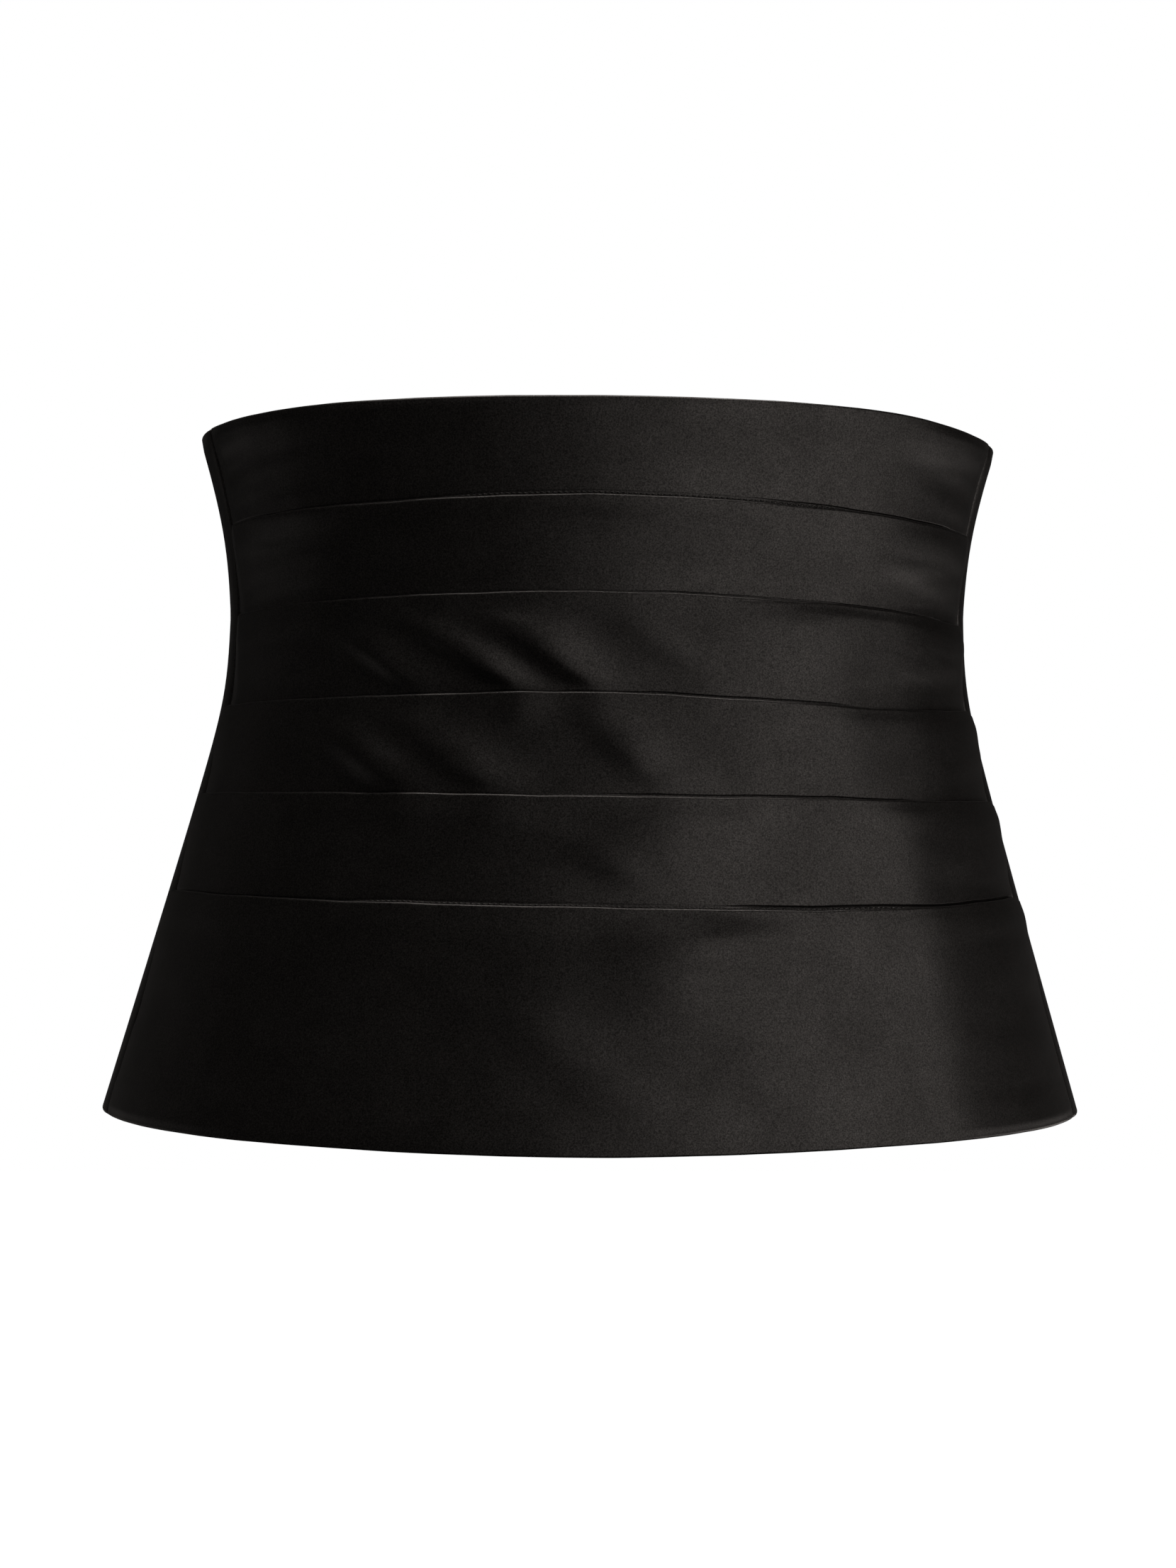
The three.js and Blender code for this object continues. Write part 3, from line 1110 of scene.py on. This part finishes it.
    def heights(self, number: int, angle: np.ndarray) -> tuple[np.ndarray, np.ndarray]:
        """Find the upper and lower line of a pleat.

        Args:
            number: Number of the pleat.
            angle: Degrees round from centre front.

        Returns:
            Heights of both lines over the waist.
        """
        lines = []
        for index in (number - 1, number):
            amount = self.waver if 0 < index < len(self.names) else self.edge_waver
            seed = self.waver_seeds[1] * index + self.waver_seeds[0]
            wobble = Wobble(amount=amount, length=self.waver_length, seed=seed)
            lines.append(self.form.line_height(index, angle) + wobble.at(self.distance_round(angle)))
        return lines[0], lines[1]

    def depths(self, number: int, showing: np.ndarray) -> np.ndarray:
        """Place the rows down a pleat, closest together at its fold and beside the next fold or the hem.

        Args:
            number: Number of the pleat.
            showing: Showing height of each column.

        Returns:
            Depths below the folded edge, of columns by rows.
        """
        roll, flat = self.cloth.fold / 2, np.ones_like(showing)
        stops = [roll * flat, self.fold_rows * flat]
        if number == len(self.names):
            stops += [showing - self.hem_rows, showing - roll]
            counts = self.band_row_counts
        else:
            above, behind = self.lip_rows
            stops += [showing - above, showing + behind, showing + self.cloth.turning - self.tail]
            counts = self.row_counts
        parts = [
            mix(high, low, np.arange(count) / count)
            for high, low, count in zip(stops, stops[1:], counts)
        ]
        return np.concatenate([*parts, stops[-1]], axis=1)

    def thickness(self, number: int, depth: np.ndarray, length: np.ndarray) -> np.ndarray:
        """Find how thick a pleat's cloth is.

        Args:
            number: Number of the pleat.
            depth: Places down the pleat.
            length: Its whole length, with what is hidden.

        Returns:
            Thicknesses.
        """
        cloth = self.cloth
        start, end = (share * cloth.turning for share in self.fold_thick)
        extra = self.fold_thickness * (1 - smoothstep(depth, start, end))
        if number == len(self.names):
            start, end = (length - share * cloth.turning for share in self.hem_thick)
            extra = extra + self.hem_thickness * smoothstep(depth, start, end)
        return mix(cloth.plain, cloth.fold, np.clip(extra, 0, 1))

    def faces(
        self,
        number: int,
        angle: np.ndarray,
        from_end: np.ndarray,
        depth: np.ndarray,
        showing: np.ndarray,
    ) -> tuple[np.ndarray, np.ndarray]:
        """Find how far both faces of a pleat's cloth lie off the surface.

        Args:
            number: Number of the pleat.
            angle: Degrees round, one for each column.
            from_end: Distance of each column from the nearer side seam.
            depth: Places down the pleat, of columns by rows.
            showing: Showing height of each column.

        Returns:
            Distances of the inner and of the outer face, of columns by rows.
        """
        cloth, index, last = self.cloth, number - 1, number == len(self.names)
        share, length = depth / showing, showing + (0.0 if last else cloth.turning)
        dying = 1 - smoothstep(share, *self.eased)
        puff = self.puff[index] * smoothstep(depth, 0.0, self.puff_depths[index]) * dying
        roll = self.soft_roll[index] * smoothstep(depth, 0.0, self.roll_depth)
        inner = self.stand(number, share, showing) * cloth.stand + self.drag(number, angle, depth, showing)
        inner = inner + puff * self.puffed.at(angle)
        inner = inner + roll * dying * smoothstep(angle, *self.roll_begins)
        bulge = self.bulge[index] * (1 - smoothstep(depth, self.bulge_start, self.puff_depths[index]))
        ease = np.clip(from_end / self.sewn_reach, 0, 1)
        sewn = self.sewn_in * (1 - np.sqrt(1 - (1 - ease) ** 2))
        outer = inner + self.thickness(number, depth, length) + bulge * self.full.at(angle) - sewn
        if last:
            outer = outer - self.hem_curl * smoothstep(depth, length - self.hem_roll, length)
        else:
            outer = outer - self.edges[index].groove(angle, showing - depth)
        turned = cloth.turned(depth) if number == 1 else 0.0
        return inner - turned, outer - turned

    def ring(
        self, faces: tuple[np.ndarray, np.ndarray], depth: np.ndarray, length: np.ndarray
    ) -> tuple[np.ndarray, np.ndarray]:
        """Join a pleat's two faces to a ring, with a round fold above and a round end below.

        Args:
            faces: Distances of the inner and of the outer face from the surface.
            depth: Places down the pleat.
            length: Its whole length.

        Returns:
            Distances from the surface, and places down the pleat, of columns by ring points.
        """
        inner, outer = faces
        roll, arcs = self.cloth.fold / 2, np.radians(np.array(self.arcs))[None, :]
        fold, radius = (outer[:, :1] + inner[:, :1]) / 2, (outer[:, :1] - inner[:, :1]) / 2
        fold_front, fold_back = fold + radius * np.cos(arcs), fold - radius * np.cos(arcs)
        fold_depth = (roll - roll * np.sin(arcs)) * np.ones_like(fold)
        end, radius = (outer[:, -1:] + inner[:, -1:]) / 2, (outer[:, -1:] - inner[:, -1:]) / 2
        end_front, end_back = end + radius * np.cos(arcs), end - radius * np.cos(arcs)
        end_depth = depth[:, -1:] + (length - depth[:, -1:]) * np.sin(arcs)
        out = [fold, fold_front, outer, end_front[:, ::-1], end, end_back, inner[:, ::-1], fold_back[:, ::-1]]
        down = [np.zeros_like(fold), fold_depth, depth, end_depth[:, ::-1], length, end_depth]
        down += [depth[:, ::-1], fold_depth[:, ::-1]]
        return np.concatenate(out, axis=1), np.concatenate(down, axis=1)

    def section(self, number: int, angle: np.ndarray, from_end: np.ndarray) -> tuple[np.ndarray, ...]:
        """Draw a pleat's cross-section at every column.

        Args:
            number: Number of the pleat.
            angle: Degrees round, one for each column.
            from_end: Distance of each column from the nearer side seam.

        Returns:
            Angles, heights and distances from the surface, each of columns by ring points.
        """
        cloth, angle, from_end = self.cloth, angle[:, None], from_end[:, None]
        upper, lower = self.heights(number, angle)
        showing = upper - lower
        length = showing + (0.0 if number == len(self.names) else cloth.turning)
        depth = self.depths(number, showing)
        out, depths = self.ring(self.faces(number, angle, from_end, depth, showing), depth, length)
        drop = cloth.corner_drop if number > 1 else 0.0
        beside = np.maximum(1 - from_end / cloth.corner_reach, 0.0)
        corner = drop * (1 - np.sqrt(1 - beside**2))
        z = upper - depths - corner * (1 - smoothstep(depths, 0.0, self.corner_fade * cloth.corner_drop))
        left, right = self.pressed[number - 1]
        flat = mix(np.where(angle < 0, left, right), 1.0, smoothstep(from_end, 0.0, self.pressed_width))
        return np.broadcast_to(angle, z.shape), z, out * flat

    def column_angles(self, number: int) -> tuple[np.ndarray, np.ndarray]:
        """Place a pleat's columns, closer together at both side seams.

        Args:
            number: Number of the pleat.

        Returns:
            Angles of the columns, and their distances from the nearer seam.
        """
        upper, lower = self.heights(number, np.array([-self.seam_level, self.seam_level]))
        middle = (upper + lower) / 2
        ends = [self.form.seam_angle(side, float(z)) for side, z in zip(Side, middle)]
        angle = mix(ends[0], ends[1], packed_places(self.columns, self.packing))
        level = sum(self.heights(number, angle)) / 2
        from_end = np.maximum(np.minimum(angle - ends[0], ends[1] - angle), 0.0)
        return angle, from_end * self.form.per_degree(angle, level)

    def pleat(self, number: int, material: bpy.types.Material) -> bpy.types.Object:
        """Build one pleat.

        Args:
            number: Its number, 1 for the top band.
            material: The satin.

        Returns:
            The pleat, in place of its solid.
        """
        name = self.names[number - 1]
        columns, from_end = self.column_angles(number)
        angle, z, out = self.section(number, columns, from_end)
        middle_z = z.mean(axis=1)
        seams = [self.form.seam_angle(side, 0.0) for side in Side]
        slopes = [self.form.seam_angle(side, 1.0) - seam for side, seam in zip(Side, seams)]
        share = (columns - columns[0]) / (columns[-1] - columns[0])
        slant = mix(slopes[0], slopes[1], share)[:, None] * (z - middle_z[:, None])
        points = self.form.wall(angle + slant, z, out)
        made = MeshPiece(f"satin_{name}", points, closed_ring_faces(*z.shape)).build(material, "satin")
        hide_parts(name)
        tall = float((z.max(axis=1) - z.min(axis=1)).mean())
        flat = (round(self.form.length_round(columns, middle_z) * MM, 3), round(tall * MM, 3))
        return made

    def stitched_edge(self, number: int, material: bpy.types.Material) -> bpy.types.Object | None:
        """Build the stitched edge of the facing, which peeps out above a fold as a fine pinched roll.

        Args:
            number: Number of the pleat above the fold.
            material: The satin.

        Returns:
            The edge, or nothing where none shows.
        """
        edge = self.edges[number - 1]
        if edge.stitched is None:
            return None
        first, last = edge.stitched
        length = float(self.distance_round(last - first)) * self.spare
        angle = np.linspace(first, last, int(length / edge.pitch * self.stitch_columns))[:, None]
        line = self.heights(number, angle)[1]
        steps = self.form.per_degree(angle, line)[:-1, 0] * np.diff(angle[:, 0])
        distance = np.concatenate([[0.0], np.cumsum(steps)])[:, None]
        beat = np.abs(np.sin(math.pi * distance / edge.pitch)) ** self.beat_shape
        showing, half = edge.showing(angle), edge.peep / 2
        radius = half * showing * (self.pinch + (1 - self.pinch) * beat) + self.thread
        turn = np.radians(np.arange(0, 360, self.thread_turn))[None, :]
        deep, deeper = self.sunk
        base = self.cloth.plain - (deep + deeper * (1 - beat)) * showing + half
        z = line - self.tucked + half * showing + radius * np.cos(turn)
        out = base + radius * np.sin(turn) + self.carried(number, angle)
        points = self.form.wall(np.broadcast_to(angle, z.shape), z, out)
        piece = MeshPiece(f"stitched_edge_{number}", points, closed_ring_faces(*z.shape))
        return piece.build(material, "satin")

    def build(self, finishes: Finishes) -> list[bpy.types.Object]:
        """Build every pleat of the front and the stitched edges above the folds.

        Args:
            finishes: The belt's materials.

        Returns:
            The pieces, pleats first.
        """
        pleats = [self.pleat(number, finishes.satin) for number in range(1, len(self.names) + 1)]
        stitched = [self.stitched_edge(number, finishes.satin) for number in range(1, len(self.names))]
        return pleats + [edge for edge in stitched if edge]


@dataclass
class BackPanels:
    """The two plain back panels, the tape that closes them and the allowances of the side seams.

    Attributes:
        form: The surface that the panels lie on.
        cloth: Thicknesses and allowances.
        slit: Gap between the panels at the centre back.
        tape_width: Width of the tape.
        tape_thickness: Its thickness.
        tape_inset: How far it ends from the top edge and from the hem.
        allowance_width: Width of a side seam's allowance, to both sides of the seam.
        allowance_inset: How far it ends from the top edge and from the hem.
        allowance_outs: Inner and outer distance of an allowance from the surface.
        columns: Number of columns of a panel.
        tape_columns: Number of columns of the tape.
        allowance_columns: Number of columns of an allowance.
        rows: Number of rows of each piece.
        rim_points: Number of points round a rim, with both its ends.
        packing: How closely a panel's columns crowd at its ends.
        rim_thin: Thickness of an upright rim, as a share.
        sewn_thin: Thickness of a panel at its side seam, as a share.
        flat_level: Height at which the length of a panel is measured.
    """

    form: BeltForm
    cloth: Cloth
    slit: float = 0.5
    tape_width: float = 26.0
    tape_thickness: float = 1.4
    tape_inset: float = 5.0
    allowance_width: float = 11.0
    allowance_inset: float = 0.8
    allowance_outs: tuple[float, float] = (-0.95, -0.6)
    columns: int = 170
    tape_columns: int = 24
    allowance_columns: int = 12
    rows: int = 60
    rim_points: int = 6
    packing: float = 0.8
    rim_thin: float = 0.25
    sewn_thin: float = 0.3
    flat_level: float = -60.0

    def strip(
        self,
        name: str,
        angles: Callable[[np.ndarray], np.ndarray],
        span: tuple[np.ndarray, np.ndarray],
        outs: tuple[float, float],
        tuck: float = 0.0,
        turned: bool = True,
    ) -> MeshPiece:
        """Build a plain wall with rounded edges all round.

        Args:
            name: Name of the piece.
            angles: Gives the columns' angles for heights of rows.
            span: Upper and lower height of each column.
            outs: Inner and outer distance from the surface.
            tuck: Length over which the edge away from the centre back thins, where the front is sewn on.
            turned: Whether the wall turns inwards at its top with the rest of the belt.

        Returns:
            The piece.
        """
        upper, lower = (edge[:, None] for edge in span)
        radius, middle = (outs[1] - outs[0]) / 2, (outs[1] + outs[0]) / 2
        rim = np.radians(np.linspace(0.0, 90.0, self.rim_points))[1:-1][None, :]
        share = np.linspace(0.0, 1.0, self.rows)[None, :]
        rows = upper - radius - share * (upper - lower - 2 * radius)
        top, low = upper - radius + radius * np.sin(rim), lower + radius - radius * np.sin(rim)
        z = np.concatenate([upper, top[:, ::-1], rows, low, lower, low[:, ::-1], rows[:, ::-1], top], axis=1)
        none = np.zeros_like(upper)
        curve, face = radius * np.cos(rim) + none, radius * np.ones_like(rows)
        outer, inner = [none, curve[:, ::-1], face, curve], [none, -curve[:, ::-1], -face, -curve]
        out = np.concatenate(outer + inner, axis=1)
        angle = angles(z)
        per_degree = self.form.per_degree(angle, z)
        near = np.minimum(np.abs(angle - angle[:1]), np.abs(angle[-1:] - angle)) * per_degree
        ease = np.clip(near / radius, 0, 1)
        thin = self.rim_thin + (1 - self.rim_thin) * np.sqrt(np.clip(1 - (1 - ease) ** 2, 0, 1))
        out = middle + out * thin
        if tuck > 0:
            sewn = angle[:1] if abs(angle[0, 0]) < abs(angle[-1, 0]) else angle[-1:]
            away = np.clip(np.abs(angle - sewn) * per_degree / tuck, 0, 1)
            out = out * mix(self.sewn_thin, 1.0, np.sqrt(1 - (1 - away) ** 2))
        if turned:
            out = out - self.cloth.turned(upper - z)
        return MeshPiece(name, self.form.wall(angle, z, out), closed_ring_faces(*z.shape))

    def panel(self, side: Side, material: bpy.types.Material) -> bpy.types.Object:
        """Build one back panel, from its side seam to the closing edge.

        Args:
            side: The side it lies on.
            material: The satin.

        Returns:
            The panel, in place of its solid.
        """
        share = packed_places(self.columns, self.packing)[:, None]

        def angles(z: np.ndarray) -> np.ndarray:
            """Spread the columns from left to right.

            Args:
                z: Heights over the waist, one for each row.

            Returns:
                Degrees round from centre front, of columns by rows.
            """
            seam = self.form.seam_angle(side, z)
            seam = seam + side.value * self.cloth.seam_gap / self.form.per_degree(seam, z)
            slit = side.value * (180 - self.slit / 2 / self.form.per_degree(np.full_like(z, 180.0), z))
            return mix(seam, slit, share) if side is Side.RIGHT else mix(slit, seam, share)

        middle = angles(np.zeros((self.columns, 1)))[:, 0]
        span = (self.form.line_height(0, middle), self.form.hem_height(middle))
        name = f"back_panel_{side.name.lower()}"
        piece = self.strip(f"satin_{name}", angles, span, (0.0, self.cloth.back), self.cloth.tuck)
        made = piece.build(material, "satin")
        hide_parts(name)
        wide = self.form.length_round(middle, np.full_like(middle, self.flat_level))
        return made

    def tape(self, material: bpy.types.Material) -> bpy.types.Object:
        """Build the tape inside the centre back.

        Args:
            material: The matt tape.

        Returns:
            The tape, in place of its solid.
        """
        share = np.linspace(-0.5, 0.5, self.tape_columns)[:, None]

        def angles(z: np.ndarray) -> np.ndarray:
            """Spread the columns to both sides of the centre back."""
            return 180 + self.tape_width * share / self.form.per_degree(np.full_like(z, 180.0), z)

        back = np.full(self.tape_columns, 180.0)
        top = self.form.line_height(0, back) - self.tape_inset
        low = self.form.hem_height(back) + self.tape_inset
        inner = -self.cloth.sewn_gap
        outs = (inner - self.tape_thickness, inner)
        made = self.strip("closing_tape", angles, (top, low), outs, turned=False).build(material, "tape")
        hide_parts("fastening_tape")
        return made

    def seam_allowance(self, side: Side, material: bpy.types.Material) -> bpy.types.Object:
        """Build the allowance of a side seam, pressed flat against the inside of the belt.

        Args:
            side: The side it lies on.
            material: The satin.

        Returns:
            The allowance.
        """
        share = np.linspace(-0.5, 0.5, self.allowance_columns)[:, None]

        def angles(z: np.ndarray) -> np.ndarray:
            """Spread the columns to both sides of the seam."""
            seam = self.form.seam_angle(side, z)
            return seam + self.allowance_width * share / self.form.per_degree(seam, z)

        middle = angles(np.zeros((self.allowance_columns, 1)))[:, 0]
        top = self.form.line_height(0, middle) - self.allowance_inset
        low = self.form.hem_height(middle) + self.allowance_inset
        name = f"seam_allowance_{side.name.lower()}"
        made = self.strip(name, angles, (top, low), self.allowance_outs).build(material, "satin")
        f"satin_back_panel_{side.name.lower()}"
        return made

    def build(self, finishes: Finishes) -> list[bpy.types.Object]:
        """Build both panels, the tape and the seam allowances.

        Args:
            finishes: The belt's materials.

        Returns:
            The pieces, in that order.
        """
        pieces = [self.panel(side, finishes.satin) for side in Side]
        pieces.append(self.tape(finishes.tape))
        return pieces + [self.seam_allowance(side, finishes.satin) for side in Side]


@dataclass(frozen=True)
class SoftLight:
    """A soft panel of light that faces the belt.

    Attributes:
        name: Name of the light.
        azimuth: Degrees round to the right, as seen from the camera.
        distance: Distance from the belt, in metres.
        size: Width and height, in metres.
        radiance: Brightness of the panel.
        elevation: Degrees up.
        roll: Degrees that its right end hangs lower.
        tint: Its colour.
    """

    name: str
    azimuth: float
    distance: float
    size: tuple[float, float]
    radiance: float
    elevation: float = 0.0
    roll: float = 0.0
    tint: tuple[float, float, float] = (1.0, 0.92, 0.875)

    def build(self, target: tuple[float, float, float]) -> bpy.types.Object:
        """Hang the light so that it faces the target.

        Args:
            target: The place it faces, in metres.

        Returns:
            The light.
        """
        data = bpy.data.lights.new(self.name, "AREA")
        data.shape = "RECTANGLE"
        data.size, data.size_y = self.size
        data.energy = self.radiance * math.pi * self.size[0] * self.size[1]
        data.color = self.tint
        made = bpy.data.objects.new(self.name, data)
        made.visible_camera = False
        bpy.context.scene.collection.objects.link(made)
        azimuth, elevation = math.radians(self.azimuth), math.radians(self.elevation)
        flat = self.distance * math.cos(elevation)
        made.location = (
            target[0] + flat * math.sin(azimuth),
            target[1] - flat * math.cos(azimuth),
            target[2] + self.distance * math.sin(elevation),
        )
        facing = Matrix.Rotation(azimuth, 3, "Z") @ Matrix.Rotation(math.pi / 2 - elevation, 3, "X")
        made.rotation_euler = (facing @ Matrix.Rotation(-math.radians(self.roll), 3, "Z")).to_euler()
        return made


@dataclass
class Studio:
    """The plain pale surroundings, the lights and the camera.

    Attributes:
        target: The place that all lights face.
        floor_level: Height of the floor.
        floor_half: Half its width.
        floor_shade: Its colour, the same in all channels.
        floor_roughness: How dull it is.
        camera_place: Where the camera stands.
        lens: Its focal length, in millimetres.
        ambient: Brightness of the surroundings for the light they cast.
        ambient_tint: Colour of that light.
        lights: The soft panels of light.
    """

    target: tuple[float, float, float] = (0.0, 0.0, -0.05)
    floor_level: float = -0.95
    floor_half: float = 6.0
    floor_shade: float = 0.9
    floor_roughness: float = 0.9
    camera_place: tuple[float, float, float] = (-0.0029, -1.0, -0.055)
    lens: float = 69.54
    ambient: float = 0.01
    ambient_tint: tuple[float, float, float] = (1.0, 0.98, 0.96)
    lights: tuple[SoftLight, ...] = (
        SoftLight("window_wide", azimuth=42, distance=1.6, size=(3.3, 2.4), radiance=0.26, roll=13),
        SoftLight("window_middle", azimuth=42, distance=1.7, size=(2.5, 2.2), radiance=0.27, roll=13),
        SoftLight("window_bright", azimuth=43, distance=1.8, size=(1.85, 2.1), radiance=0.3, roll=13),
        SoftLight("front_fill", azimuth=-5, distance=2.2, size=(3.6, 2.8), radiance=0.03),
        SoftLight("left_fill", azimuth=-72, distance=1.6, size=(3.4, 2.8), radiance=0.025),
        SoftLight("high_left", azimuth=-20, distance=1.6, size=(1.45, 0.55), radiance=0.34, elevation=48),
        SoftLight("low_right", azimuth=109, distance=1.5, size=(1.5, 0.5), radiance=1.25, elevation=-20),
        SoftLight("low_left", azimuth=-108, distance=1.5, size=(1.8, 0.8), radiance=0.12, elevation=-20),
        SoftLight("ceiling", azimuth=0, distance=1.3, size=(1.0, 0.7), radiance=5.5, elevation=88),
    )

    def world(self) -> None:
        """Make the surroundings white behind the belt and dim for the light they cast."""
        world = bpy.data.worlds.new("surroundings")
        bpy.context.scene.world = world
        world.use_nodes = True
        nodes, links = world.node_tree.nodes, world.node_tree.links
        seen = nodes["Background"]
        seen.inputs["Color"].default_value = (1.0, 1.0, 1.0, 1.0)
        cast = nodes.new("ShaderNodeBackground")
        cast.inputs["Color"].default_value = (*self.ambient_tint, 1.0)
        cast.inputs["Strength"].default_value = self.ambient
        path, either = nodes.new("ShaderNodeLightPath"), nodes.new("ShaderNodeMixShader")
        links.new(path.outputs["Is Camera Ray"], either.inputs[0])
        links.new(cast.outputs["Background"], either.inputs[1])
        links.new(seen.outputs["Background"], either.inputs[2])
        links.new(either.outputs["Shader"], nodes["World Output"].inputs["Surface"])

    def floor(self) -> bpy.types.Object:
        """Lay a plain pale floor well below the belt, which is worn at waist height.

        Returns:
            The floor.
        """
        mesh = bpy.data.meshes.new("floor")
        half, level = self.floor_half, self.floor_level
        corners = [(-half, -half, level), (half, -half, level), (half, half, level), (-half, half, level)]
        mesh.from_pydata(corners, [], [(0, 1, 2, 3)])
        material = bpy.data.materials.new("pale_floor")
        material.use_nodes = True
        shader = material.node_tree.nodes["Principled BSDF"]
        shader.inputs["Base Color"].default_value = (*[self.floor_shade] * 3, 1.0)
        shader.inputs["Roughness"].default_value = self.floor_roughness
        shader.inputs["Emission Color"].default_value = (1.0, 1.0, 1.0, 1.0)
        shader.inputs["Emission Strength"].default_value = 1.0
        mesh.materials.append(material)
        made = bpy.data.objects.new("floor", mesh)
        bpy.context.scene.collection.objects.link(made)
        made.visible_diffuse = made.visible_glossy = False
        return made

    def camera(self) -> bpy.types.Object:
        """Set the camera straight in front, level and a little below the waist.

        Returns:
            The camera.
        """
        data = bpy.data.cameras.new("camera")
        data.lens = self.lens
        made = bpy.data.objects.new("camera", data)
        bpy.context.scene.collection.objects.link(made)
        made.location = self.camera_place
        made.rotation_euler = (math.pi / 2, 0.0, 0.0)
        bpy.context.scene.camera = made
        return made

    def build(self) -> None:
        """Build the surroundings, lights, floor and camera."""
        bpy.context.scene.view_settings.view_transform = "Standard"
        self.world()
        for light in self.lights:
            light.build(self.target)
        self.floor()
        self.camera()


def main() -> None:
    """Build the studio and the belt."""
    logging.basicConfig(level=logging.INFO, format="%(name)s %(message)s")
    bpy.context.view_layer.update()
    Studio().build()
    finishes = Finishes.prepare()
    form, cloth = BeltForm(), Cloth()
    PleatedFront(form, cloth).build(finishes)
    BackPanels(form, cloth).build(finishes)


if __name__ == "__main__":
    main()
